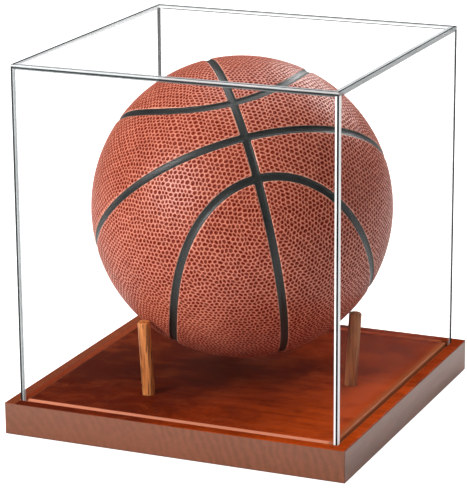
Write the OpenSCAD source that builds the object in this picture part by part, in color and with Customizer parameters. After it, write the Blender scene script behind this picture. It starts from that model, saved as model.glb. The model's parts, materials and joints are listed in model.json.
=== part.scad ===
// Basketball display case: a square wooden base with three leaning pegs, a lift-off clear acrylic cover
// that drops into a groove in the base, and a size 7 basketball that rests on the pegs.
// Millimetres. +Z is up, the front is -Y, and the origin is the centre of the surface it stands on.

/* [Base] */
// Width and depth of the square wooden base
base_w = 283; // [275:1:320]
// Thickness of the base
base_t = 25.5; // [20:0.5:40]
// Width of the flat rim outside the groove
rim_w = 9; // [6:0.5:9.5]
// Radius that eases the outer edges of the base
edge_r = 1; // [0.5:0.25:2]
// Width of the groove that the cover's walls drop into
groove_w = 4; // [3.8:0.1:5]
// Depth of the groove below the rim
groove_d = 4; // [3:0.5:6]
// Radius of the round edge of the raised field inside the groove
field_r = 1.6; // [0.5:0.1:2.5]

/* [Feet] */
// Diameter of the round foot pads
foot_d = 18; // [12:1:24]
// How far the foot pads stand proud of the underside
foot_proud = 1; // [0.5:0.1:2]
// How deep the foot pads are let into the underside
foot_inset = 1; // [0.5:0.1:2]
// Distance from the base's edge to the centre of a foot pad
foot_margin = 24; // [16:1:40]

/* [Pegs] */
// Diameter of the wooden pegs that hold the ball
peg_d = 10; // [8:0.5:12]
// Distance from the centre of the base to each peg, at the surface of the base
peg_ring_r = 92.4; // [88:0.1:96]
// How far the pegs lean outwards from upright, in degrees
peg_lean = 3.6; // [0:0.1:6]
// Radius of the rounded edge at the top of a peg
peg_round = 1.4; // [0.5:0.1:2]
// Depth of the blind holes that the pegs are glued into
peg_hole_depth = 15; // [10:1:18]
// Width of the bevel round the mouth of each hole
peg_hole_bevel = 0.6; // [0.2:0.1:1.2]

/* [Cover] */
// Height of the cover's top face above the base
cover_rise = 266.6; // [260:0.1:300]
// Thickness of the acrylic sheet
sheet_t = 3; // [2:0.5:3]

/* [Ball] */
// Diameter of the ball, a size 7 basketball
ball_d = 238.5; // [236:0.5:240]
// Gap between the base and the bottom of the ball
ball_rise = 17.1; // [10:0.1:20]
// Width of the channels between the ball's panels
channel_w = 6; // [4:0.5:8]
// How the ball is turned on its pegs, about X, then Y, then Z
ball_angles = [-73.9, 47.2, -43.6];

/* [Hidden] */
$fn = 96;

// Fits
peg_fit = 0.05;        // radial clearance of a peg in its hole
rest_gap = 0.15;       // the ball's clearance over the pegs, and the cover's over the groove's floor
cut = 1;               // how far a cutting shape runs past the face that it cuts

// Heights
underside_z = foot_proud;
top_z = underside_z + base_t;
cover_top_z = top_z + cover_rise;
ball_r = ball_d / 2;
ball_z = top_z + ball_rise + ball_r;

// The groove, and the acrylic that stands in the middle of it
groove_out_w = base_w - 2 * rim_w;
field_w = groove_out_w - 2 * groove_w;
cover_w = field_w + groove_w + sheet_t;
wall_foot_z = top_z - groove_d + rest_gap;
wall_h = cover_top_z - sheet_t - wall_foot_z;

// A peg is as long as it takes for its rounded top edge to reach the ball. The edge's centre starts at
// (edge_x0, edge_z0) from the ball's centre, in the upright plane through the peg, and climbs along
// the peg until it is edge_reach from the ball's centre.
edge_in = peg_d / 2 - peg_round;
edge_reach = ball_r + rest_gap + peg_round;
edge_x0 = peg_ring_r - edge_in * cos(peg_lean);
edge_z0 = top_z - ball_z + edge_in * sin(peg_lean);
climb_b = edge_x0 * sin(peg_lean) + edge_z0 * cos(peg_lean);
climb_c = edge_x0 * edge_x0 + edge_z0 * edge_z0 - edge_reach * edge_reach;
peg_h = -climb_b - sqrt(climb_b * climb_b - climb_c) + peg_round;
peg_sink = peg_hole_depth - 0.5;

// Layers of the ball, from the outside in
panel_t = 1.3;
channel_drop = 0.8;    // how far the channels lie below the panels' faces
backing_t = 1.1;
winding_t = 0.6;
bladder_t = 1.2;
channel_r = ball_r - channel_drop;
backing_r = ball_r - panel_t;
winding_r = backing_r - backing_t;
bladder_r = winding_r - winding_t;
inside_r = bladder_r - bladder_t;

// The ball's seams: two great circles that cross at right angles, and two loops, each of them
// where a round tube cuts the sphere
loop_x = 1.008 * ball_r;
loop_r = 0.729 * ball_r;
half_gap = channel_w / 2;

// The valve sits in a strip panel at the back of the ball: from the ball's +Y axis, the first angle
// leads towards its +Z axis and the second towards its +X axis
valve_tip = 15;
valve_swing = 8;
valve_r = 2.6;
valve_lip_r = 4.5;
valve_length = 10;
needle_r = 0.7;
needle_depth = 7;
valve_drop = 0.3;      // how far the valve's face lies below the panel's

varnish = "#8c4a30";
peg_wood = "#a8693a";
felt = "#3a3330";
acrylic = [0.86, 0.93, 0.95, 0.22];
ball_leather = "#b4553c";
channel_rubber = "#2f3433";

// A rectangle on the X axis with its two upper corners rounded
module eased_profile(w, h, r) {
    translate([-w / 2, 0]) square([w, h - r]);
    translate([-w / 2 + r, 0]) square([w - 2 * r, h]);
    for (side = [-1, 1]) translate([side * (w / 2 - r), h - r]) circle(r);
}

// A square with its four corners rounded
module eased_square(w, r) {
    square([w, w - 2 * r], center = true);
    square([w - 2 * r, w], center = true);
    for (x = [-1, 1], y = [-1, 1]) translate([x * (w / 2 - r), y * (w / 2 - r)]) circle(r);
}

// A square block on z = 0 whose upper edges and upright corners are rounded
module eased_block(w, h, r) {
    intersection() {
        rotate([90, 0, 0]) linear_extrude(w + 2, center = true) eased_profile(w, h, r);
        rotate([90, 0, 90]) linear_extrude(w + 2, center = true) eased_profile(w, h, r);
        linear_extrude(h) eased_square(w, r);
    }
}

// Moves along a peg's own axis: 0 at the surface of the base, positive up the peg
module on_peg_axis(around) {
    rotate([0, 0, around]) translate([peg_ring_r, 0, top_z]) rotate([0, peg_lean, 0]) children();
}

// A blind hole with a bevelled mouth
module peg_hole() {
    hole_r = peg_d / 2 + peg_fit;
    translate([0, 0, -peg_hole_depth]) cylinder(r = hole_r, h = peg_hole_depth + cut);
    translate([0, 0, -peg_hole_bevel])
        cylinder(r1 = hole_r, r2 = hole_r + peg_hole_bevel + cut, h = peg_hole_bevel + cut);
}

module at_foot(x, y) {
    translate([x * (base_w / 2 - foot_margin), y * (base_w / 2 - foot_margin), 0]) children();
}

module base_slab() {
    color(varnish) difference() {
        union() {
            difference() {
                translate([0, 0, underside_z]) eased_block(base_w, base_t, edge_r);
                translate([-groove_out_w / 2, -groove_out_w / 2, top_z - groove_d])
                    cube([groove_out_w, groove_out_w, groove_d + cut]);
            }
            translate([0, 0, top_z - groove_d - cut]) eased_block(field_w, groove_d + cut, field_r);
        }
        for (around = [0, 120, 240]) on_peg_axis(around) peg_hole();
        for (x = [-1, 1], y = [-1, 1]) at_foot(x, y) cylinder(d = foot_d, h = foot_proud + foot_inset);
    }
}

module peg(around) {
    color(peg_wood) on_peg_axis(around) translate([0, 0, -peg_sink]) rotate_extrude() {
        square([edge_in, peg_sink + peg_h]);
        square([peg_d / 2, peg_sink + peg_h - peg_round]);
        translate([edge_in, peg_sink + peg_h - peg_round]) intersection() {
            circle(peg_round);
            square(peg_round);
        }
    }
}
module peg_right() { peg(0); }
module peg_front_left() { peg(240); }
module peg_back_left() { peg(120); }

// A round pad, its lower edge bevelled
module foot(x, y) {
    bevel = 0.4;
    color(felt) at_foot(x, y) rotate_extrude() polygon([
        [0, 0], [foot_d / 2 - bevel, 0], [foot_d / 2, bevel],
        [foot_d / 2, foot_proud + foot_inset], [0, foot_proud + foot_inset]
    ]);
}
module foot_front_left() { foot(-1, -1); }
module foot_front_right() { foot(1, -1); }
module foot_back_left() { foot(-1, 1); }
module foot_back_right() { foot(1, 1); }

// The front and back sheets span the cover's full width, the side sheets stand between them, and the
// top sheet lies on all four
module cover_top() {
    color(acrylic) translate([-cover_w / 2, -cover_w / 2, cover_top_z - sheet_t])
        cube([cover_w, cover_w, sheet_t]);
}
module full_wall(y) {
    color(acrylic) translate([-cover_w / 2, y, wall_foot_z]) cube([cover_w, sheet_t, wall_h]);
}
module cover_front() { full_wall(-cover_w / 2); }
module cover_back() { full_wall(cover_w / 2 - sheet_t); }
module side_wall(x) {
    color(acrylic) translate([x, -cover_w / 2 + sheet_t, wall_foot_z])
        cube([sheet_t, cover_w - 2 * sheet_t, wall_h]);
}
module cover_left() { side_wall(-cover_w / 2); }
module cover_right() { side_wall(cover_w / 2 - sheet_t); }

module on_ball() {
    translate([0, 0, ball_z]) rotate(ball_angles) children();
}
module shell(r_out, r_in) {
    difference() {
        sphere(r_out);
        sphere(r_in);
    }
}
// The quarter of the ball on the given sides of its two great circles, short of the channels
module quarter(x, z) {
    reach = ball_d;
    translate([x > 0 ? half_gap : -half_gap - reach, -reach / 2 - cut, z > 0 ? half_gap : -half_gap - reach])
        cube([reach, reach + 2 * cut, reach]);
}
module loop_tube(x, r) {
    translate([x * loop_x, 0, 0]) rotate([90, 0, 0]) cylinder(r = r, h = ball_d + 4 * cut, center = true);
}
module strip_shape(x, z, r_out, r_in) {
    difference() {
        intersection() {
            shell(r_out, r_in);
            quarter(x, z);
        }
        loop_tube(x, loop_r + half_gap);
    }
}
module oval_shape(x, z, r_out, r_in) {
    intersection() {
        shell(r_out, r_in);
        quarter(x, z);
        loop_tube(x, loop_r - half_gap);
    }
}
module on_valve_axis() {
    rotate([valve_tip, 0, -valve_swing]) rotate([-90, 0, 0]) children();
}
// The round hole that the valve fills
module valve_hole() {
    on_valve_axis() cylinder(r = valve_r, h = ball_d);
}

module strip_panel(x, z) {
    color(ball_leather) on_ball() strip_shape(x, z, ball_r, backing_r);
}
module ball_strip_panel_1() {
    color(ball_leather) on_ball() difference() {
        strip_shape(1, 1, ball_r, backing_r);
        valve_hole();
    }
}
module ball_strip_panel_2() { strip_panel(-1, 1); }
module ball_strip_panel_3() { strip_panel(-1, -1); }
module ball_strip_panel_4() { strip_panel(1, -1); }

module oval_panel(x, z) {
    color(ball_leather) on_ball() oval_shape(x, z, ball_r, backing_r);
}
module ball_oval_panel_1() { oval_panel(1, 1); }
module ball_oval_panel_2() { oval_panel(-1, 1); }
module ball_oval_panel_3() { oval_panel(-1, -1); }
module ball_oval_panel_4() { oval_panel(1, -1); }

// The rubber backing that the panels are glued to
module ball_carcass() {
    color(channel_rubber) on_ball() difference() {
        shell(backing_r, winding_r);
        valve_hole();
    }
}
// The net of rubber strips that fills the bottoms of the channels between the panels
module channel_ring() {
    rotate_extrude() intersection() {
        difference() {
            circle(channel_r);
            circle(backing_r);
        }
        translate([0, -half_gap]) square([ball_r, channel_w]);
    }
}
module channel_band() {
    translate([-ball_r, -ball_r - cut, -half_gap]) cube([ball_d, ball_d + 2 * cut, channel_w]);
}
module channel_loop(x) {
    difference() {
        intersection() {
            shell(channel_r, backing_r);
            loop_tube(x, loop_r + half_gap);
        }
        loop_tube(x, loop_r - half_gap);
        channel_band();
    }
}
module ball_channel_strips() {
    color(channel_rubber) on_ball() {
        channel_ring();
        difference() {
            rotate([0, 90, 0]) channel_ring();
            channel_band();
        }
        for (x = [-1, 1]) channel_loop(x);
    }
}
module ball_winding() {
    color("#d8d2c4") on_ball() difference() {
        shell(winding_r, bladder_r);
        valve_hole();
    }
}
module ball_bladder() {
    color("#1c1c1c") on_ball() difference() {
        shell(bladder_r, inside_r);
        valve_hole();
    }
}
// A rubber plug with a blind needle hole, and a lip that bears on the inside of the bladder
module ball_valve() {
    lip_z = inside_r * cos(asin(valve_lip_r / inside_r));
    lip_h = 1.5;
    color("#151515") on_ball() on_valve_axis() difference() {
        union() {
            translate([0, 0, ball_r - valve_drop - valve_length]) cylinder(r = valve_r, h = valve_length);
            translate([0, 0, lip_z - lip_h]) cylinder(r = valve_lip_r, h = lip_h);
        }
        translate([0, 0, ball_r - valve_drop - needle_depth]) cylinder(r = needle_r, h = needle_depth + cut);
    }
}

base_slab();
peg_right();
peg_front_left();
peg_back_left();
foot_front_left();
foot_front_right();
foot_back_left();
foot_back_right();
cover_top();
cover_front();
cover_back();
cover_left();
cover_right();
ball_strip_panel_1();
ball_strip_panel_2();
ball_strip_panel_3();
ball_strip_panel_4();
ball_oval_panel_1();
ball_oval_panel_2();
ball_oval_panel_3();
ball_oval_panel_4();
ball_channel_strips();
ball_carcass();
ball_winding();
ball_bladder();
ball_valve();
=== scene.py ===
"""The looks of a basketball display case: a varnished wooden base with three leaning pegs, a clear acrylic
cover and a pebbled leather basketball. Everything is in metres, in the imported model's own frame."""

import json
import math

import bmesh
import bpy
import numpy as np
from mathutils import Euler, Matrix, Vector
from mathutils.geometry import delaunay_2d_cdt


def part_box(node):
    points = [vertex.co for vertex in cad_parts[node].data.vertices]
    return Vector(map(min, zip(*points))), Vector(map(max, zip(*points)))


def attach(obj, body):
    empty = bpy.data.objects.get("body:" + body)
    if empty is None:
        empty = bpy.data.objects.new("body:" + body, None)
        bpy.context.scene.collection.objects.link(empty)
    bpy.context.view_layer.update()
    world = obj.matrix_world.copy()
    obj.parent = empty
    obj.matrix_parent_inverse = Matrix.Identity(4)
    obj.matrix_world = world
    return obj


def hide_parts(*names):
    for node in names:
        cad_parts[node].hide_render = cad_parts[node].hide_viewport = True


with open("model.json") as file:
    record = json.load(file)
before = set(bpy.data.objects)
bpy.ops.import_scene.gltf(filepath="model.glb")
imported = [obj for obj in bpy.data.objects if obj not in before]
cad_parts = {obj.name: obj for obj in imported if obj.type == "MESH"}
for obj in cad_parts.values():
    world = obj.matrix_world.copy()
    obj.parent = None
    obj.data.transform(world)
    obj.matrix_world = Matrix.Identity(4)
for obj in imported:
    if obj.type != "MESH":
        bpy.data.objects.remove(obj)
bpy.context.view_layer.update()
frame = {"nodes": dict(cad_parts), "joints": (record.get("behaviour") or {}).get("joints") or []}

MM = 0.001

# ---------------------------------------------------------------- the frame's own sizes
base_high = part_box("base_slab")[1]
cover_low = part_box("cover_front")[0]
cover_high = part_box("cover_top")[1]
ball_joint = next(j for j in frame["joints"] if j["name"] == "ball_turn")
BALL_CENTRE = np.array(ball_joint["pos_m"])
BALL_NODES = {
    (kind, x, z): f"ball_{kind}_panel_{i}"
    for kind in ("strip", "oval")
    for i, (x, z) in enumerate([(1, 1), (-1, 1), (-1, -1), (1, -1)], start=1)
}


def node_radii(name):
    """Nearest and furthest points of a CAD node from the ball's centre."""
    vertices = frame["nodes"][name].data.vertices
    co = np.empty(len(vertices) * 3)
    vertices.foreach_get("co", co)
    r = np.linalg.norm(co.reshape(-1, 3) - BALL_CENTRE, axis=1)
    return r.min(), r.max()


BALL_R = node_radii("ball_oval_panel_1")[1]
BACKING_R = node_radii("ball_carcass")[1]

# The base's raised field and the groove round it, which the cover's walls stand in
GROOVE_FLOOR = base_high.z - 4 * MM
FIELD_HALF = 128.5 * MM
RIM_INNER = 132.5 * MM

# The ball's seams, as in the CAD: two great circles and two loops cut by round tubes
BALL_ANGLES = (-73.9, 47.2, -43.6)
LOOP_X = 1.008 * BALL_R
LOOP_R = 0.729 * BALL_R
HALF_CHANNEL = 3.0 * MM

# The way out of the ball along its valve, tipped and swung from the ball's own +Y axis as in the CAD
VALVE_TIP, VALVE_SWING = math.radians(15), math.radians(8)
VALVE_AXIS = np.array([
    math.cos(VALVE_TIP) * math.sin(VALVE_SWING),
    math.cos(VALVE_TIP) * math.cos(VALVE_SWING),
    math.sin(VALVE_TIP)
])
VALVE_HOLE_R = 2.6 * MM

# The rubber trough: how far it runs in under the panels' lips, where its surface bends, and how far that lies
# below the leather's at distances from the trough's middle
CHANNEL_TUCK = 0.25 * MM
CHANNEL_CREASES = (1.5 * MM, 2.5 * MM)
CHANNEL_PROFILE_AT = (0.0, 1.5 * MM, 2.5 * MM, 3.25 * MM)
CHANNEL_PROFILE_DROP = (1.2 * MM, 1.12 * MM, 0.62 * MM, 0.55 * MM)

# The leather's pits lie on every fourth vertex of a geodesic sphere. The channels use a coarser one.
PIT_STEP = 4
PITS_PER_EDGE = 40
CHANNEL_STEPS_PER_EDGE = 112
PIT_DEPTH = 0.45 * MM
# A pit's depth, as a share, at distances from its middle in triangle edges
PIT_PROFILE_AT = (0.0, 1.0, 1.74, 2.0)
PIT_PROFILE = (1.0, 0.74, 0.12, 0.0)
# Each panel rounds off towards its rim
LIP_WIDTH = 1.1 * MM
LIP_DROP = 0.75 * MM
# How far a panel and the rubber trough keep off the backing under them
BACKING_GAP = 0.02 * MM
# How far past a patch's rim the sphere's triangles are kept before they are cut
CUT_MARGIN = 3 * MM

# How strongly the acrylic's faces reflect. Real acrylic has about 1.49; the photo's panels show almost no
# reflections, so this is far lower.
CLEAR_INDEX = 1.025


# ---------------------------------------------------------------- node materials
def node(tree, kind, inputs=None, **props):
    """Adds a node. An input that is given a socket is linked to it, and any other is set."""
    n = tree.nodes.new(kind)
    for key, value in props.items():
        setattr(n, key, value)
    for key, value in (inputs or {}).items():
        if isinstance(value, bpy.types.NodeSocket):
            tree.links.new(value, n.inputs[key])
        else:
            n.inputs[key].default_value = value
    return n


def new_material(name):
    material = bpy.data.materials.new(name)
    material.use_nodes = True
    tree = material.node_tree
    tree.nodes.clear()
    out = tree.nodes.new("ShaderNodeOutputMaterial")
    return material, tree, out


def srgb(r, g, b):
    """A linear colour from 8-bit display values."""
    def linear(c):
        c /= 255
        return c / 12.92 if c <= 0.04045 else ((c + 0.055) / 1.055) ** 2.4
    return (linear(r), linear(g), linear(b), 1.0)


def ramp(tree, fac, stops):
    n = node(tree, "ShaderNodeValToRGB", {"Fac": fac})
    elements = n.color_ramp.elements
    while len(elements) < len(stops):
        elements.new(0.5)
    for element, (position, colour) in zip(elements, stops):
        element.position = position
        element.color = colour
    return n.outputs["Color"]


def mix(tree, fac, a, b):
    """Mixes two colours. The node has a set of sockets for each data type, so they go by number."""
    return node(tree, "ShaderNodeMix", {0: fac, 6: a, 7: b}, data_type="RGBA").outputs[2]


def math_node(tree, operation, *values, clamp=False):
    inputs = dict(enumerate(values))
    return node(tree, "ShaderNodeMath", inputs, operation=operation, use_clamp=clamp).outputs[0]


def map_range(tree, value, low, high, to_low=0.0, to_high=1.0, smooth=False):
    n = node(tree, "ShaderNodeMapRange", {
        "Value": value, "From Min": low, "From Max": high, "To Min": to_low, "To Max": to_high
    })
    n.interpolation_type = "SMOOTHSTEP" if smooth else "LINEAR"
    return n.outputs["Result"]


def object_coordinates(tree, scale=(1, 1, 1), rotation=(0, 0, 0)):
    coordinates = node(tree, "ShaderNodeTexCoord").outputs["Object"]
    return node(tree, "ShaderNodeMapping", {
        "Vector": coordinates, "Scale": scale, "Rotation": rotation
    }).outputs["Vector"]


def noise(tree, vector, scale, detail, roughness, distortion=0.0):
    return node(tree, "ShaderNodeTexNoise", {
        "Vector": vector, "Scale": scale, "Detail": detail, "Roughness": roughness, "Distortion": distortion
    }).outputs["Fac"]


def bump(tree, height, strength, distance):
    inputs = {"Height": height, "Strength": strength, "Distance": distance}
    return node(tree, "ShaderNodeBump", inputs).outputs["Normal"]


def principled(tree, out, **inputs):
    shader = node(tree, "ShaderNodeBsdfPrincipled", {k.replace("_", " "): v for k, v in inputs.items()})
    tree.links.new(shader.outputs["BSDF"], out.inputs["Surface"])
    return shader


def growth_rings(tree, x, z):
    """Rings about a heart that lies below the slab, past its left end, with the grain front to back."""
    heart_x, heart_z, pitch, swaying = -0.2, -0.06, 0.0066, 0.022
    sway = noise(tree, object_coordinates(tree, (1, 0.25, 1)), 26.0, 4.0, 0.55)
    across = math_node(tree, "SUBTRACT", x, heart_x)
    up = math_node(tree, "SUBTRACT", z, heart_z)
    radius = math_node(tree, "SQRT", math_node(
        tree, "ADD", math_node(tree, "MULTIPLY", across, across), math_node(tree, "MULTIPLY", up, up)
    ))
    swayed = math_node(tree, "ADD", radius, math_node(tree, "MULTIPLY", sway, swaying))
    turns = math_node(tree, "MULTIPLY", swayed, 2 * math.pi / pitch)
    rings = map_range(tree, math_node(tree, "SINE", turns), -1.0, 1.0)
    fade = noise(tree, object_coordinates(tree), 17.0, 2.0, 0.5)
    return math_node(tree, "MULTIPLY", rings, map_range(tree, fade, 0.35, 0.65, 0.12, 0.42))


def stained_top(tree, x, y, cloud, speck, streak):
    """The dark mottled stain of the flat faces, with painted light that makes it lighter and warmer towards the
    front right, and paler on the left rim.
    """
    patch = noise(tree, object_coordinates(tree, (1, 1.6, 1)), 30.0, 5.0, 0.62, 0.6)
    # painted light: the stain runs lighter and warmer towards the front right
    front_right_light = map_range(tree, math_node(tree, "SUBTRACT", x, math_node(tree, "MULTIPLY", y, 0.5)), -0.13, 0.16)
    tone = math_node(
        tree, "ADD", math_node(tree, "MULTIPLY", front_right_light, 0.5), math_node(tree, "MULTIPLY", cloud, 0.5)
    )
    tone = math_node(tree, "ADD", tone, map_range(tree, speck, 0.3, 0.7, -0.1, 0.1))
    colour = ramp(tree, tone, [
        (0.24, srgb(76, 30, 18)), (0.45, srgb(104, 34, 13)), (0.62, srgb(142, 48, 11)), (0.8, srgb(182, 68, 16))
    ])
    colour = mix(tree, map_range(tree, streak, 0.42, 0.72, 0.0, 0.4), colour, srgb(74, 20, 8))
    colour = mix(tree, map_range(tree, patch, 0.5, 0.75, 0.0, 0.35), colour, srgb(176, 78, 36))
    colour = mix(tree, map_range(tree, patch, 0.5, 0.3, 0.0, 0.45), colour, srgb(66, 16, 6))
    left_rim = map_range(tree, x, -RIM_INNER + 1.0 * MM, -RIM_INNER, 0.0, 0.4)
    return mix(tree, left_rim, colour, srgb(164, 88, 58))


def ringed_edge(tree, x, z, facing_right, cloud, speck, fibre):
    """The paler sides: growth rings under a thin stain, greyer at the left, with a painted reflection that
    greys the right-hand side and painted shade along the bottom edge.
    """
    colour = mix(tree, cloud, srgb(134, 78, 56), srgb(154, 90, 64))
    colour = mix(tree, map_range(tree, x, -0.03, -0.14, 0.0, 0.35), colour, srgb(118, 78, 60))
    colour = mix(tree, map_range(tree, speck, 0.35, 0.65, 0.0, 0.25), colour, srgb(116, 70, 48))
    # painted reflection: the right-hand side greyer, as if it mirrored the pale room
    colour = mix(tree, map_range(tree, facing_right, 0.5, 0.9, 0.0, 0.4), colour, srgb(150, 120, 106))
    colour = mix(tree, growth_rings(tree, x, z), colour, srgb(106, 68, 42))
    colour = mix(tree, map_range(tree, fibre, 0.4, 0.7, 0.0, 0.2), colour, srgb(172, 104, 74))
    # painted shade: darker along the bottom edge, where the base meets the floor
    foot = map_range(tree, z, 0.0, 2.4 * MM, 0.75, 0.0, smooth=True)
    return mix(tree, foot, colour, srgb(60, 34, 22))


def within_rim(tree, reach, z):
    """1 on the raised field and in the groove, 0 on the rim, the sides and the underside."""
    above = math_node(tree, "GREATER_THAN", z, GROOVE_FLOOR - 0.5 * MM)
    inside_rim = math_node(tree, "LESS_THAN", reach, RIM_INNER + 0.2 * MM)
    return math_node(tree, "MULTIPLY", above, inside_rim)


def painted_field_light(tree, x, y, z, reach, inner, colour):
    """Painted light down in the groove, brighter towards the right, that offsets the groove's shade, and
    painted highlights along the field's edges, palest along the front.
    """
    groove = math_node(tree, "MULTIPLY", inner, math_node(tree, "GREATER_THAN", reach, FIELD_HALF - 1.5 * MM))
    lower = math_node(tree, "LESS_THAN", z, base_high.z - 0.05 * MM)
    groove = math_node(tree, "MULTIPLY", groove, lower)
    # painted light in the groove, brighter towards the right, offsetting the groove's shade
    groove_fill_light = mix(tree, map_range(tree, x, 0.1, 0.127), srgb(226, 128, 86), srgb(244, 158, 108))
    colour = mix(tree, groove, colour, groove_fill_light)
    # painted highlight along the field's rounded front edge
    front = map_range(tree, y, -FIELD_HALF + 2.6 * MM, -FIELD_HALF + 1.4 * MM, smooth=True)
    colour = mix(tree, math_node(tree, "MULTIPLY", front, inner), colour, srgb(216, 136, 104))
    # a fainter painted highlight along the field's right edge
    right = map_range(tree, x, FIELD_HALF - 7 * MM, FIELD_HALF - 3 * MM, 0.0, 0.8, smooth=True)
    return mix(tree, math_node(tree, "MULTIPLY", right, inner), colour, srgb(154, 84, 50))


def varnished_wood():
    """Cherry-stained wood: a dark mottled stain on the flat top, paler sides that show the growth rings, a
    fuller varnish on the sides than on top, a painted highlight along the raised field's edge and painted
    light down in the groove."""
    material, tree, out = new_material("varnished_cherry")
    x, y, z = node(tree, "ShaderNodeSeparateXYZ", {"Vector": object_coordinates(tree)}).outputs
    normal = node(tree, "ShaderNodeSeparateXYZ", {
        "Vector": node(tree, "ShaderNodeNewGeometry").outputs["Normal"]
    }).outputs
    flatness = math_node(tree, "ABSOLUTE", normal["Z"])
    reach = math_node(tree, "MAXIMUM", math_node(tree, "ABSOLUTE", x), math_node(tree, "ABSOLUTE", y))
    inner = within_rim(tree, reach, z)
    cloud = noise(tree, object_coordinates(tree), 14.0, 4.0, 0.55, 0.4)
    fibre = noise(tree, object_coordinates(tree, (260, 18, 260)), 1.0, 4.0, 0.6)
    streak = noise(tree, object_coordinates(tree, (14, 190, 120)), 1.0, 5.0, 0.6, 0.3)
    speck = noise(tree, object_coordinates(tree, (1, 2.2, 1)), 260.0, 4.0, 0.7)
    top = stained_top(tree, x, y, cloud, speck, streak)
    edge = ringed_edge(tree, x, z, normal["X"], cloud, speck, fibre)
    side = map_range(tree, flatness, 0.35, 0.6, 1.0, 0.0)
    colour = painted_field_light(tree, x, y, z, reach, inner, mix(tree, side, top, edge))
    surface = bump(tree, math_node(tree, "ADD", streak, fibre), 0.06, 0.0003)
    rough = map_range(tree, cloud, 0.3, 0.7, 0.32, 0.44)
    full_varnish = map_range(tree, flatness, 0.1, 0.3, 1.0, 0.0)
    # less coat towards the bottom: painted shade in the reflections, for the shaded floor the lower sides
    # reflect
    reflection_fade = map_range(tree, z, 0.0, base_high.z, 0.45, 1.0)
    outer = math_node(tree, "SUBTRACT", 1.0, inner)
    coat = math_node(tree, "MULTIPLY", math_node(tree, "MULTIPLY", full_varnish, reflection_fade), outer)
    coat = math_node(tree, "ADD", coat, 0.08, clamp=True)
    principled(
        tree, out, Base_Color=colour, Roughness=rough, Normal=surface, Specular_IOR_Level=0.0,
        Coat_Weight=coat, Coat_Roughness=0.16, Coat_IOR=1.5
    )
    return material


def peg_wood():
    """Oiled oak, its grain along the peg and slightly across it, with painted shade on the right-hand peg."""
    material, tree, out = new_material("peg_oak")
    slant = (0, math.radians(9), 0)
    fine = noise(tree, object_coordinates(tree, (620, 620, 30), slant), 1.0, 4.0, 0.6, 0.3)
    broad = noise(tree, object_coordinates(tree, (200, 200, 10), slant), 1.0, 3.0, 0.5, 0.4)
    colour = ramp(tree, broad, [
        (0.3, srgb(186, 104, 50)), (0.5, srgb(234, 146, 80)), (0.7, srgb(250, 176, 106))
    ])
    # painted shade: darker towards the right, where the ball shades the right-hand peg
    x = node(tree, "ShaderNodeSeparateXYZ", {"Vector": object_coordinates(tree)}).outputs["X"]
    colour = mix(tree, map_range(tree, x, -0.02, 0.06, 0.0, 0.6), colour, srgb(126, 64, 26))
    colour = mix(tree, map_range(tree, fine, 0.4, 0.5, 0.85, 0.0), colour, srgb(92, 44, 18))
    surface = bump(tree, fine, 0.25, 0.0002)
    principled(
        tree, out, Base_Color=colour, Roughness=0.5, Normal=surface, Specular_IOR_Level=0.25,
        Coat_Weight=0.12, Coat_Roughness=0.25
    )
    return material


def pebbled_leather():
    """Orange-brown composite leather: a pale, glossier raised net round small dark pits, their dark partly
    painted shade.
    """
    material, tree, out = new_material("pebbled_leather")
    pit = node(tree, "ShaderNodeAttribute", attribute_name="pit").outputs["Fac"]
    cloud = noise(tree, object_coordinates(tree), 16.0, 3.0, 0.55)
    grain = noise(tree, object_coordinates(tree), 1000.0, 3.0, 0.65)
    # the deeper the pit, the darker: partly the leather's own tone, partly painted shade in the pits
    fresh = ramp(tree, pit, [
        (0.0, srgb(255, 192, 164)), (0.08, srgb(240, 148, 120)), (0.2, srgb(196, 92, 66)),
        (0.45, srgb(156, 52, 30)), (0.95, srgb(118, 24, 10))
    ])
    handled = ramp(tree, pit, [
        (0.0, srgb(248, 172, 146)), (0.08, srgb(226, 128, 100)), (0.2, srgb(174, 70, 48)),
        (0.45, srgb(132, 36, 20)), (0.95, srgb(98, 15, 6))
    ])
    colour = mix(tree, map_range(tree, cloud, 0.3, 0.7), handled, fresh)
    colour = mix(tree, map_range(tree, grain, 0.42, 0.7, 0.0, 0.5), colour, srgb(110, 26, 12))
    colour = mix(tree, map_range(tree, grain, 0.46, 0.3, 0.0, 0.3), colour, srgb(250, 176, 140))
    surface = bump(tree, grain, 0.12, 0.0001)
    principled(
        tree, out, Base_Color=colour, Roughness=0.6, Normal=surface, Specular_IOR_Level=0.0,
        Coat_Weight=map_range(tree, pit, 0.1, 0.55, 1.0, 0.12), Coat_Roughness=0.34, Coat_IOR=1.5
    )
    return material


def rubber(name, dark, light, roughness):
    material, tree, out = new_material(name)
    cloud = noise(tree, object_coordinates(tree), 60.0, 4.0, 0.6)
    colour = ramp(tree, cloud, [(0.3, dark), (0.7, light)])
    rough = map_range(tree, cloud, 0.3, 0.7, roughness, roughness + 0.1)
    principled(tree, out, Base_Color=colour, Roughness=rough, Specular_IOR_Level=0.5)
    return material


def fibres(name, dark, light, stretch):
    material, tree, out = new_material(name)
    strands = noise(tree, object_coordinates(tree, stretch), 1.0, 5.0, 0.7, 0.8)
    colour = ramp(tree, strands, [(0.3, dark), (0.7, light)])
    principled(
        tree, out, Base_Color=colour, Roughness=0.9, Normal=bump(tree, strands, 0.5, 0.0003), Sheen_Weight=0.3
    )
    return material


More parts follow.
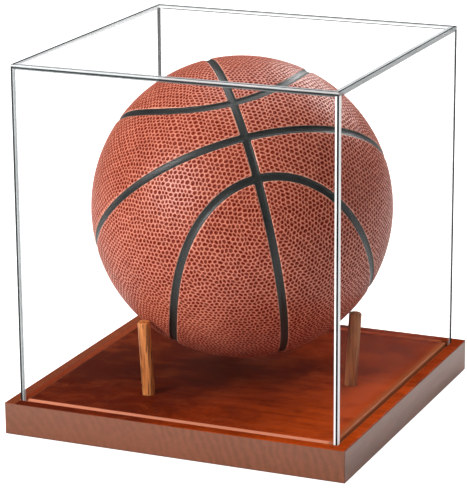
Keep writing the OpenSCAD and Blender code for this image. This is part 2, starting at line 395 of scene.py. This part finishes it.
def clear_sheet():
    """The flat faces of the acrylic: they let light straight through, and reflect more at a glancing angle."""
    material, tree, out = new_material("clear_acrylic")
    back = node(tree, "ShaderNodeNewGeometry").outputs["Backfacing"]
    index = map_range(tree, back, 0.0, 1.0, CLEAR_INDEX, 1 / CLEAR_INDEX)
    fresnel = node(tree, "ShaderNodeFresnel", {"IOR": index}).outputs["Fac"]
    smears = noise(tree, object_coordinates(tree), 9.0, 3.0, 0.6)
    haze = map_range(tree, smears, 0.35, 0.75, 0.0, 0.003)
    gloss = node(tree, "ShaderNodeBsdfGlossy", {"Color": (1, 1, 1, 1), "Roughness": 0.0})
    through = node(tree, "ShaderNodeBsdfTransparent", {"Color": (0.996, 0.998, 0.998, 1)})
    dust = node(tree, "ShaderNodeBsdfDiffuse", {"Color": (0.9, 0.92, 0.93, 1)})
    clear = node(tree, "ShaderNodeMixShader", {"Fac": fresnel, 1: through.outputs[0], 2: gloss.outputs[0]})
    whole = node(tree, "ShaderNodeMixShader", {"Fac": haze, 1: clear.outputs[0], 2: dust.outputs[0]})
    tree.links.new(whole.outputs[0], out.inputs["Surface"])
    return material


def edge_glow(name, low, high, front_alpha, back_alpha, glow=0.0, inside=None):
    """The acrylic beside its edges: mostly painted light, the brightness that runs along inside the sheets or
    the dark where it is missing, and a painted glow where glow is given. Seen through the sheet it has another
    strength, and the colour given as inside."""
    material, tree, out = new_material(name)
    along = noise(tree, object_coordinates(tree), 20.0, 2.0, 0.5)
    colour = ramp(tree, along, [(0.3, low), (0.7, high)])
    back = node(tree, "ShaderNodeNewGeometry").outputs["Backfacing"]
    if inside:
        colour = mix(tree, back, colour, inside)
    alpha = map_range(tree, back, 0.0, 1.0, front_alpha, back_alpha)
    through = node(tree, "ShaderNodeBsdfTransparent", {"Color": (1, 1, 1, 1)})
    body = node(tree, "ShaderNodeBsdfPrincipled", {
        "Base Color": colour, "Roughness": 0.6, "IOR": 1.0, "Specular IOR Level": 0.0,
        "Emission Color": (1, 1, 1, 1), "Emission Strength": glow
    })
    whole = node(tree, "ShaderNodeMixShader", {"Fac": alpha, 1: through.outputs[0], 2: body.outputs[0]})
    tree.links.new(whole.outputs[0], out.inputs["Surface"])
    return material


# ---------------------------------------------------------------- mesh helpers
def mesh_object(name, vertices, faces, material, body):
    mesh = bpy.data.meshes.new(name)
    mesh.from_pydata([], [], [])
    mesh.vertices.add(len(vertices))
    mesh.vertices.foreach_set("co", np.asarray(vertices, np.float32).ravel())
    faces = np.asarray(faces, np.int32)
    corners = faces.shape[1]
    mesh.loops.add(faces.size)
    mesh.loops.foreach_set("vertex_index", faces.ravel())
    mesh.polygons.add(len(faces))
    mesh.polygons.foreach_set("loop_start", np.arange(0, faces.size, corners, dtype=np.int32))
    mesh.update(calc_edges=True)
    mesh.validate()
    mesh.shade_smooth()
    mesh.materials.append(material)
    piece = bpy.data.objects.new(name, mesh)
    bpy.context.scene.collection.objects.link(piece)
    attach(piece, body)
    return piece


# ---------------------------------------------------------------- the ball
def icosahedron():
    """Corners of an icosahedron, and its faces, each with its corners anticlockwise from outside."""
    g = (1 + 5 ** 0.5) / 2
    corners = np.array(
        [(0, s, t * g) for s in (-1, 1) for t in (-1, 1)]
        + [(s, t * g, 0) for s in (-1, 1) for t in (-1, 1)]
        + [(t * g, 0, s) for s in (-1, 1) for t in (-1, 1)]
    ) / math.hypot(1, g)
    edge = min(np.linalg.norm(corners[0] - c) for c in corners[1:]) * 1.01
    near = np.linalg.norm(corners[:, None] - corners[None], axis=2) < edge
    faces = []
    for a in range(12):
        for b in range(a + 1, 12):
            for c in range(b + 1, 12):
                if near[a, b] and near[b, c] and near[a, c]:
                    turn = np.dot(np.cross(corners[a], corners[b]), corners[c]) > 0
                    faces.append((a, b, c) if turn else (a, c, b))
    return corners, faces


def geodesic(step, count):
    """A unit sphere of near-equal triangles: its points, its triangles, and each point's distance from the
    middle of the nearest pit, in triangle edges."""
    n = step * count
    i, j = np.meshgrid(np.arange(n + 1), np.arange(n + 1), indexing="ij")
    inside = i + j <= n
    i, j = i[inside], j[inside]
    index = -np.ones((n + 2, n + 2), int)
    index[i, j] = np.arange(len(i))
    up = (i + j) <= n - 1
    first = np.stack([index[i[up], j[up]], index[i[up] + 1, j[up]], index[i[up], j[up] + 1]], 1)
    down = (i >= 1) & (i + j <= n - 1)
    second = np.stack([
        index[i[down], j[down]], index[i[down], j[down] + 1], index[i[down] - 1, j[down] + 1]
    ], 1)
    patch = np.concatenate([first, second])
    away = np.full(len(i), np.inf)
    for di in (0, step):
        for dj in (0, step):
            a, b = i % step - di, j % step - dj
            away = np.minimum(away, np.sqrt(a * a + b * b + a * b))
    corners, faces = icosahedron()
    points, triangles = [], []
    span = math.atan(2)
    share_a, share_b, share_c = (np.sin(k / n * span)[:, None] for k in (i, j, n - i - j))
    for a, b, c in faces:
        flat = corners[c] * share_c + corners[a] * share_a + corners[b] * share_b
        triangles.append(patch + len(points) * len(i))
        points.append(flat / np.linalg.norm(flat, axis=1)[:, None])
    points = np.concatenate(points)
    rounded = np.round(points * 1e5).astype(np.int64)
    _, keep, back = np.unique(rounded, axis=0, return_index=True, return_inverse=True)
    away = np.tile(away, len(faces))[keep]
    return points[keep], back.reshape(-1)[np.concatenate(triangles)], away


def wander(points):
    """Small smooth shifts that take the regularity out of the rows of pits."""
    shift = np.zeros_like(points)
    rng = np.random.default_rng(7)
    for wavelength, size in ((0.13, 0.0026), (0.07, 0.0017), (0.045, 0.0013)):
        for _ in range(3):
            direction = rng.normal(size=3)
            direction *= 2 * math.pi / wavelength / np.linalg.norm(direction)
            shift += size * rng.normal(size=3) * np.sin(points @ direction + rng.uniform(0, 6.28))[:, None]
    moved = points + shift
    return moved / np.linalg.norm(moved, axis=1)[:, None]


def unevenness(points):
    """A smooth random field, about -1 to 1, with patches a few pits wide."""
    rng = np.random.default_rng(11)
    total = np.zeros(len(points))
    for wavelength in (0.052, 0.067, 0.085, 0.11):
        for _ in range(3):
            direction = rng.normal(size=3)
            direction *= 2 * math.pi / wavelength / np.linalg.norm(direction)
            total += np.sin(points @ direction + rng.uniform(0, 6.28))
    return total / 4


def seam_gaps(points, x, z, kind):
    """How far each point lies inside the panel of that kind and quarter, from the edge of its channels."""
    px, pz = points[:, 0] * x * BALL_R, points[:, 2] * z * BALL_R
    to_loop = np.hypot(px - LOOP_X, pz) - LOOP_R
    gaps = np.stack([px, pz, to_loop if kind == "strip" else -to_loop]) - HALF_CHANNEL
    # a soft minimum rounds the panel's corners
    soft = 0.45 * MM
    gap = -soft * np.log(np.exp(-np.clip(gaps, -0.05, 0.05) / soft).sum(0))
    return np.minimum(gap, valve_gap(points))


def valve_gap(points):
    """Distance of each point from the rim of the valve's hole."""
    ahead = points @ VALVE_AXIS
    aside = np.linalg.norm(points - ahead[:, None] * VALVE_AXIS, axis=1) * BALL_R - VALVE_HOLE_R
    return np.where(ahead > 0, aside, 1.0)


def channel_depth(points):
    """Distance of each point from the middle of the nearest channel."""
    px, pz = np.abs(points[:, 0]) * BALL_R, np.abs(points[:, 2]) * BALL_R
    return np.minimum(np.minimum(px, pz), np.abs(np.hypot(px - LOOP_X, pz) - LOOP_R))


def cut_along(points, triangles, level, values):
    """Splits the triangles that the contour level = 0 crosses. Returns points, triangles, and the level and
    the other values at each point."""
    inside = level > 0
    count = inside[triangles].sum(1)
    whole = triangles[(count == 0) | (count == 3)]
    crossed = triangles[(count == 1) | (count == 2)]
    # turn each so that its first corner is the one alone on its side
    alone = inside[crossed] == (inside[crossed].sum(1) == 1)[:, None]
    first = alone.argmax(1)
    rows = np.arange(len(crossed))
    a, b, c = (crossed[rows, (first + k) % 3] for k in range(3))
    low = np.concatenate([np.minimum(a, b), np.minimum(a, c)])
    high = np.concatenate([np.maximum(a, b), np.maximum(a, c)])
    keys, back = np.unique(low * len(points) + high, return_inverse=True)
    low, high = keys // len(points), keys % len(points)
    t = level[low] / (level[low] - level[high])
    t = t[:, None]
    fresh = points[low] * (1 - t) + points[high] * t
    fresh /= np.linalg.norm(fresh, axis=1)[:, None]
    ab = back[: len(crossed)] + len(points)
    ac = back[len(crossed):] + len(points)
    parts = [whole, np.stack([a, ab, ac], 1), np.stack([ab, b, c], 1), np.stack([ab, c, ac], 1)]
    t = t[:, 0]
    values = [np.concatenate([v, v[low] * (1 - t) + v[high] * t]) for v in values]
    level = np.concatenate([level, np.zeros(len(keys))])
    return np.concatenate([points, fresh]), np.concatenate(parts), level, values


def used_only(points, triangles, values):
    """Drops the points that no triangle has."""
    used, back = np.unique(triangles, return_inverse=True)
    return points[used], back.reshape(-1, 3), [v[used] for v in values]


def rim_edges(triangles):
    """The directed edges that only one triangle has."""
    edges = np.concatenate([triangles[:, [0, 1]], triangles[:, [1, 2]], triangles[:, [2, 0]]])
    span = edges.max() + 1
    forward = edges[:, 0] * span + edges[:, 1]
    reverse = edges[:, 1] * span + edges[:, 0]
    return edges[~np.isin(forward, reverse)]


def to_world(points):
    """Turns and moves points from the ball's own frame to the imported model's."""
    turn = np.array(Euler([math.radians(a) for a in BALL_ANGLES], "XYZ").to_matrix())
    return points @ turn.T + BALL_CENTRE


def rim_loops(rim):
    """The rim's directed edges, put in order as closed loops of points."""
    after = {int(a): int(b) for a, b in rim}
    loops = []
    while after:
        loop = [next(iter(after))]
        while loop[-1] in after:
            loop.append(after.pop(loop[-1]))
        loops.append(loop[:-1])
    return loops


def inner_face(points, loops, inner_points):
    """Coarse triangles that close the underside of a patch: its rims' own points and a few inside it."""
    ring = points[[k for loop in loops for k in loop]]
    middle = inner_points.mean(0)
    middle /= np.linalg.norm(middle)
    u = np.cross(middle, (0, 1, 0.01))
    u /= np.linalg.norm(u)
    v = np.cross(middle, u)
    everything = np.concatenate([ring, inner_points])
    angle = np.arccos(np.clip(everything @ middle, -1, 1))
    flat = np.stack([everything @ u, everything @ v], 1)
    flat *= (angle / np.maximum(np.linalg.norm(flat, axis=1), 1e-9))[:, None]
    edges, start = [], 0
    for loop in loops:
        n = len(loop)
        edges += [(start + k, start + (k + 1) % n) for k in range(n)]
        start += n
    _, _, faces, origin, _, _ = delaunay_2d_cdt([Vector(p) for p in flat], edges, [], 1, 1e-7)
    faces = np.array([[origin[k][0] for k in f] for f in faces])
    in_hole = valve_gap(everything)[faces].max(1) < 0.2 * MM
    return everything, faces[~in_hole]


def ball_panel(sphere, kind, x, z, material):
    """One leather panel: a pitted face with rounded lips, a skirt down to the backing, and an underside."""
    points, triangles, away, middles = sphere
    gap = seam_gaps(points, x, z, kind)
    near = (gap[triangles] > -CUT_MARGIN).any(1)
    points, triangles, (gap, away) = used_only(points, triangles[near], [gap, away])
    points, triangles, gap, (away,) = cut_along(points, triangles, gap, [away])
    triangles = triangles[(gap[triangles].sum(1) > 0) & (gap[triangles] >= 0).all(1)]
    points, triangles, (gap, away) = used_only(points, triangles, [gap, away])
    points, triangles, _, (gap, away) = cut_along(points, triangles, gap - LIP_WIDTH, [gap, away])
    points, triangles, (gap, away) = used_only(points, triangles, [gap, away])
    # a flat-bottomed pit round each pit's middle, dying away at the panel's lip
    pit = np.interp(away, PIT_PROFILE_AT, PIT_PROFILE)
    pit *= 0.9 + 0.2 * np.clip(unevenness(points), -1, 1)
    # with no pits the lip takes the net's pale colour, partly a painted highlight along the panel's edge
    pit *= np.clip(gap / LIP_WIDTH - 0.25, 0, 1)
    part_way = 1 - np.clip(gap / LIP_WIDTH, 0, 1)
    lip = 1 - np.sqrt(np.clip(1 - part_way * part_way, 0, 1))
    radius = BALL_R - PIT_DEPTH * pit - LIP_DROP * lip
    rim = rim_edges(triangles)
    loops = rim_loops(rim)
    inner_points = middles[seam_gaps(middles, x, z, kind) > 4 * MM]
    under, closing = inner_face(points, loops, inner_points)
    a, b, c = (under[closing[:, k]] for k in range(3))
    outward = (np.cross(b - a, c - a) * a).sum(1) > 0
    closing[outward] = closing[outward][:, ::-1]
    n = len(points)
    place = {v: n + k for k, v in enumerate(v for loop in loops for v in loop)}
    skirt = []
    for a, b in rim.tolist():
        skirt += [(b, a, place[a]), (b, place[a], place[b])]
    name = BALL_NODES[kind, x, z]
    everything = np.concatenate([points * radius[:, None], under * (BACKING_R + BACKING_GAP)])
    piece = mesh_object(
        name.replace("ball_", "leather_"), to_world(everything),
        np.concatenate([triangles, np.array(skirt), closing + n]), material, "ball"
    )
    values = np.concatenate([pit, np.zeros(len(under))]).astype(np.float32)
    piece.data.attributes.new("pit", "FLOAT", "POINT").data.foreach_set("value", values)
    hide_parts(name)
    return piece


def channel_strips(sphere, material):
    """The net of rubber in the channels: a trough between the panels."""
    points, triangles, _ = sphere
    level = HALF_CHANNEL + CHANNEL_TUCK - channel_depth(points)
    near = (level[triangles] > -CUT_MARGIN).any(1)
    points, triangles, (level,) = used_only(points, triangles[near], [level])
    points, triangles, level, _ = cut_along(points, triangles, level, [])
    triangles = triangles[(level[triangles].sum(1) > 0) & (level[triangles] >= 0).all(1)]
    points, triangles, (level,) = used_only(points, triangles, [level])
    for crease in CHANNEL_CREASES:
        points, triangles, _, _ = cut_along(points, triangles, crease - channel_depth(points), [])
        points, triangles, _ = used_only(points, triangles, [])
    radius = BALL_R - np.interp(channel_depth(points), CHANNEL_PROFILE_AT, CHANNEL_PROFILE_DROP)
    n = len(points)
    rim = rim_edges(triangles)
    skirt = [f for a, b in rim.tolist() for f in ((b, a, a + n), (b, a + n, b + n))]
    everything = np.concatenate([points * radius[:, None], points * (BACKING_R + BACKING_GAP)])
    faces = np.concatenate([triangles, np.array(skirt), triangles[:, ::-1] + n])
    piece = mesh_object("channel_rubber", to_world(everything), faces, material, "ball")
    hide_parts("ball_channel_strips")
    return piece


def build_ball():
    points, triangles, away = geodesic(PIT_STEP, PITS_PER_EDGE)
    points = wander(points)
    sphere = (points, triangles, away, points[away == 0][::5])
    leather = pebbled_leather()
    for kind, x, z in BALL_NODES:
        ball_panel(sphere, kind, x, z, leather)
    trough = rubber("channel_rubber", srgb(24, 27, 26), srgb(38, 42, 40), 0.36)
    channel_strips(geodesic(1, CHANNEL_STEPS_PER_EDGE), trough)


# ---------------------------------------------------------------- the cover
# The finishes, in the order of build_cover's materials
CLEAR, END, TOP_END, CORNER, PALE, LINE, GLUE, BRINK = range(8)
# Where two bands meet at a corner of a face, the first of these shows
BAND_ORDER = (END, CORNER, TOP_END, PALE, LINE)
# The painted light that shows through a sheet's outer face along its edges: how far in from the edge each
# finish reaches
LEFT_CORNER_BANDS = [(1.7 * MM, CORNER), (2.5 * MM, PALE), (3.9 * MM, LINE)]
RIGHT_CORNER_BANDS = [(1.6 * MM, CORNER), (3.0 * MM, END)]
TOP_NEAR_BANDS = [(1.6 * MM, CORNER), (4.6 * MM, TOP_END)]
TOP_LEFT_BANDS = [(2.6 * MM, CORNER), (5.4 * MM, TOP_END)]
TOP_BACK_BANDS = [(3.4 * MM, CORNER), (7.0 * MM, TOP_END)]
UNDER_TOP_BANDS = [(0.8 * MM, LINE)]
BESIDE_FRONT_BANDS = [(1.4 * MM, END)]
FRONT_LEFT_BANDS = [(1.9 * MM, CORNER)]
BESIDE_BACK_BANDS = [(1.2 * MM, LINE), (2.8 * MM, PALE)]
FOOT_BANDS = [(1.3 * MM, LINE)]
# On the top sheet's own ends, the dark line of the glue along the foot and a painted highlight under the arris
GLUE_LINE = 1.5 * MM
BRINK_LINE = 1.3 * MM
# How wide the cover's outer corners are eased
ARRIS = 0.25 * MM


def finish_at(distance, bands):
    return next((finish for reach, finish in bands if distance < reach), CLEAR)


def sheet_piece(name, thin, ends, bare, materials, glued=()):
    """One acrylic sheet, its faces ruled into the clear middle and what the light does along its edges.
    thin is the axis across the sheet and the side that faces out; ends gives the bands along each edge of
    the outer face, by axis and side; bare is the finish of the sheet's own ends; glued names the axes whose
    ends show the glue line and the bright line."""
    low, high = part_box(name)
    axis, out = thin
    cuts = [{low[k], high[k]} for k in range(3)]
    for (k, side), bands in ends.items():
        edge = high[k] if side > 0 else low[k]
        cuts[k].update(edge - side * reach for reach, _ in bands)
    if glued:
        cuts[axis].update((low[axis] + GLUE_LINE, high[axis] - BRINK_LINE))
    spans = [sorted(c) for c in cuts]
    bm = bmesh.new()
    made = {}

    def corner(cell):
        if cell not in made:
            made[cell] = bm.verts.new([spans[k][cell[k]] for k in range(3)])
        return made[cell]

    def finish(face_axis, side, at):
        if face_axis != axis and face_axis in glued:
            if at[axis] < low[axis] + GLUE_LINE:
                return GLUE
            return BRINK if at[axis] > high[axis] - BRINK_LINE else bare
        if face_axis != axis:
            return bare
        if side != out:
            return CLEAR
        found = [
            finish_at(abs(at[k] - (high[k] if end_side > 0 else low[k])), bands)
            for (k, end_side), bands in ends.items()
        ]
        return next((f for f in BAND_ORDER if f in found), CLEAR)

    for face_axis in range(3):
        u, v = [k for k in range(3) if k != face_axis]
        for at, side in ((0, -1), (len(spans[face_axis]) - 1, 1)):
            for a in range(len(spans[u]) - 1):
                for b in range(len(spans[v]) - 1):
                    ring = []
                    for du, dv in ((0, 0), (1, 0), (1, 1), (0, 1)):
                        cell = [0, 0, 0]
                        cell[face_axis], cell[u], cell[v] = at, a + du, b + dv
                        ring.append(corner(tuple(cell)))
                    face = bm.faces.new(ring)
                    face.normal_update()
                    if face.normal[face_axis] * side < 0:
                        face.normal_flip()
                    face.material_index = finish(face_axis, side, face.calc_center_median())
    ease_arrises(bm)
    mesh = bpy.data.meshes.new(name)
    bm.to_mesh(mesh)
    bm.free()
    for m in materials:
        mesh.materials.append(m)
    piece = bpy.data.objects.new("acrylic_" + name.split("_")[1], mesh)
    bpy.context.scene.collection.objects.link(piece)
    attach(piece, "cover")
    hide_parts(name)
    return piece


def ease_arrises(bm):
    """Takes the sharpness off the edges that lie along the cover's own outer corners."""
    def on_corner(edge):
        extreme = 0
        for k in range(3):
            at = [v.co[k] for v in edge.verts]
            extreme += any(max(abs(a - e) for a in at) < 1e-6 for e in (cover_low[k], cover_high[k]))
        return extreme >= 2

    edges = [e for e in bm.edges if on_corner(e)]
    bmesh.ops.bevel(bm, geom=edges, offset=ARRIS, segments=2, profile=0.5, affect="EDGES", material=-1)


def build_cover():
    # All but the clear sheet and the glue are painted light: bright bands, dark lines and the ends' painted
    # glow
    materials = [
        clear_sheet(),
        edge_glow("acrylic_end", srgb(236, 238, 238), srgb(250, 251, 251), 0.95, 0.2, 0.35),
        edge_glow("acrylic_top_end", srgb(162, 166, 167), srgb(190, 194, 195), 0.85, 0.45),
        edge_glow("acrylic_corner", srgb(24, 30, 31), srgb(40, 47, 48), 0.97, 0.92),
        edge_glow("acrylic_pale", srgb(204, 209, 210), srgb(228, 232, 233), 0.5, 0.1),
        edge_glow("acrylic_line", srgb(104, 110, 111), srgb(136, 142, 143), 0.75, 0.05),
        edge_glow("acrylic_glue", srgb(34, 40, 41), srgb(58, 65, 66), 0.97, 0.2),
        edge_glow(
            "acrylic_brink", srgb(206, 210, 211), srgb(232, 236, 237), 0.85, 0.95, inside=srgb(40, 46, 47)
        ),
    ]
    sides = {
        (0, -1): LEFT_CORNER_BANDS, (0, 1): RIGHT_CORNER_BANDS,
        (2, 1): UNDER_TOP_BANDS, (2, -1): FOOT_BANDS
    }
    between = {
        (1, -1): BESIDE_FRONT_BANDS, (1, 1): BESIDE_BACK_BANDS,
        (2, 1): UNDER_TOP_BANDS, (2, -1): FOOT_BANDS
    }
    all_round = {
        (0, -1): TOP_LEFT_BANDS, (0, 1): TOP_NEAR_BANDS, (1, -1): TOP_NEAR_BANDS, (1, 1): TOP_BACK_BANDS
    }
    sheet_piece("cover_top", (2, 1), all_round, TOP_END, materials, glued=(1,))
    sheet_piece("cover_front", (1, -1), sides, END, materials)
    sheet_piece("cover_back", (1, 1), sides, CORNER, materials)
    sheet_piece("cover_left", (0, -1), between | {(1, -1): FRONT_LEFT_BANDS}, PALE, materials)
    sheet_piece("cover_right", (0, 1), between, PALE, materials)


# ---------------------------------------------------------------- carried-over CAD pieces
def dress(name, material):
    slots = frame["nodes"][name].data.materials
    slots.clear()
    slots.append(material)


def dress_cad():
    dress("base_slab", varnished_wood())
    oak = peg_wood()
    for name in ("peg_right", "peg_front_left", "peg_back_left"):
        dress(name, oak)
    felt = fibres("felt", srgb(30, 26, 24), srgb(62, 54, 50), (900, 900, 900))
    for x in ("left", "right"):
        for y in ("front", "back"):
            dress(f"foot_{y}_{x}", felt)
    dress("ball_carcass", rubber("backing_rubber", srgb(30, 32, 32), srgb(48, 50, 50), 0.6))
    dress("ball_winding", fibres("nylon_winding", srgb(170, 162, 146), srgb(226, 220, 206), (60, 900, 60)))
    dress("ball_bladder", rubber("bladder_rubber", srgb(20, 20, 20), srgb(36, 36, 36), 0.5))
    dress("ball_valve", rubber("valve_rubber", srgb(16, 16, 16), srgb(30, 30, 30), 0.45))


# ---------------------------------------------------------------- camera, floor and lights
CAMERA_AT = (0.75471, -1.76250, 0.68183)
CAMERA_LENS = 185.34
CAMERA_AZIMUTH, CAMERA_ELEVATION, CAMERA_ROLL = 23.391, 16.002, 0.402

FLOOR_REACH = 9.0
# The floor lies a hair below the felt pads, and stops this far in from the base's edge
FLOOR_DROP = 0.2 * MM
FLOOR_TUCK = 8 * MM
# The floor's own glow, as the camera sees it and as reflections do
FLOOR_GLOW = 1.0
GLOSSY_SHARE = 0.25
# The room's light from level to overhead, and how much of it reflections see
ROOM_LOW, ROOM_HIGH = 0.14, 0.5
ROOM_GLOSSY_SHARE = 0.5


def add_camera():
    data = bpy.data.cameras.new("camera")
    data.lens = CAMERA_LENS
    data.sensor_width = 36
    data.clip_end = 50
    camera = bpy.data.objects.new("camera", data)
    az, el = math.radians(CAMERA_AZIMUTH), math.radians(CAMERA_ELEVATION)
    towards = Vector((-math.sin(az) * math.cos(el), math.cos(az) * math.cos(el), -math.sin(el)))
    turn = towards.to_track_quat("-Z", "Y").to_matrix() @ Matrix.Rotation(math.radians(-CAMERA_ROLL), 3, "Z")
    camera.matrix_world = Matrix.Translation(CAMERA_AT) @ turn.to_4x4()
    bpy.context.scene.collection.objects.link(camera)
    bpy.context.scene.camera = camera


def add_floor():
    """Pale paper, bright to the eye and in reflections; seen from below, or under the base, it isn't there."""
    material, tree, out = new_material("floor_paper")
    grain = noise(tree, object_coordinates(tree), 6.0, 3.0, 0.5)
    colour = ramp(tree, grain, [(0.3, (0.64, 0.64, 0.64, 1)), (0.7, (0.66, 0.66, 0.66, 1))])
    path = node(tree, "ShaderNodeLightPath").outputs
    in_gloss = math_node(tree, "MULTIPLY", path["Is Glossy Ray"], GLOSSY_SHARE)
    seen = math_node(tree, "ADD", path["Is Camera Ray"], in_gloss)
    paper = principled(
        tree, out, Base_Color=colour, Roughness=0.9, Emission_Color=(1, 1, 1, 1),
        Emission_Strength=math_node(tree, "MULTIPLY", seen, FLOOR_GLOW)
    ).outputs["BSDF"]
    back = node(tree, "ShaderNodeNewGeometry").outputs["Backfacing"]
    clear = node(tree, "ShaderNodeBsdfTransparent", {"Color": (1, 1, 1, 1)}).outputs[0]
    x, y, _ = node(tree, "ShaderNodeSeparateXYZ", {"Vector": object_coordinates(tree)}).outputs
    reach = math_node(tree, "MAXIMUM", math_node(tree, "ABSOLUTE", x), math_node(tree, "ABSOLUTE", y))
    under = math_node(tree, "LESS_THAN", reach, base_high.x - FLOOR_TUCK)
    gone = math_node(tree, "MAXIMUM", back, under)
    one_sided = node(tree, "ShaderNodeMixShader", {"Fac": gone, 1: paper, 2: clear})
    tree.links.new(one_sided.outputs[0], out.inputs["Surface"])
    mesh = bpy.data.meshes.new("floor")
    signs = ((-1, -1), (1, -1), (1, 1), (-1, 1))
    corners = [(across * FLOOR_REACH, along * FLOOR_REACH, -FLOOR_DROP) for across, along in signs]
    mesh.from_pydata(corners, [], [(0, 1, 2, 3)])
    mesh.materials.append(material)
    floor = bpy.data.objects.new("floor", mesh)
    bpy.context.scene.collection.objects.link(floor)


def add_world():
    """White behind the scene, and a dimmer grey room that lights it, brighter overhead."""
    world = bpy.data.worlds.new("studio")
    world.use_nodes = True
    tree = world.node_tree
    tree.nodes.clear()
    out = tree.nodes.new("ShaderNodeOutputWorld")
    direction = node(tree, "ShaderNodeTexCoord").outputs["Generated"]
    up = node(tree, "ShaderNodeSeparateXYZ", {"Vector": direction}).outputs["Z"]
    path = node(tree, "ShaderNodeLightPath").outputs
    light = map_range(tree, up, 0.0, 0.9, ROOM_LOW, ROOM_HIGH, smooth=True)
    share = map_range(tree, path["Is Glossy Ray"], 0.0, 1.0, 1.0, ROOM_GLOSSY_SHARE)
    light = math_node(tree, "MULTIPLY", light, share)
    room = node(tree, "ShaderNodeBackground", {"Color": (1, 1, 1, 1), "Strength": light})
    white = node(tree, "ShaderNodeBackground", {"Color": (1, 1, 1, 1), "Strength": 1.0})
    both = node(tree, "ShaderNodeMixShader", {
        "Fac": path["Is Camera Ray"], 1: room.outputs[0], 2: white.outputs[0]
    })
    tree.links.new(both.outputs[0], out.inputs["Surface"])
    bpy.context.scene.world = world


def add_softbox(name, azimuth, elevation, distance, size, power):
    """A soft light that faces the ball. Azimuth is measured from the front, towards the right."""
    az, el = math.radians(azimuth), math.radians(elevation)
    away = Vector((math.sin(az) * math.cos(el), -math.cos(az) * math.cos(el), math.sin(el)))
    data = bpy.data.lights.new(name, "AREA")
    data.shape = "RECTANGLE"
    data.size, data.size_y = size
    data.energy = power
    light = bpy.data.objects.new(name, data)
    light.location = Vector(BALL_CENTRE) + away * distance
    light.rotation_euler = away.to_track_quat("Z", "Y").to_euler()
    bpy.context.scene.collection.objects.link(light)


def add_lights():
    add_softbox("key_light", -31, 21, 1.5, (0.75, 0.85), 18)
    add_softbox("top_light", 200, 70, 1.6, (1.2, 1.2), 11)
    add_softbox("back_light", 170, 31, 1.5, (1.0, 0.6), 13)
    bpy.context.scene.view_settings.view_transform = "Standard"


add_camera()
add_floor()
add_world()
add_lights()
dress_cad()
build_cover()
build_ball()
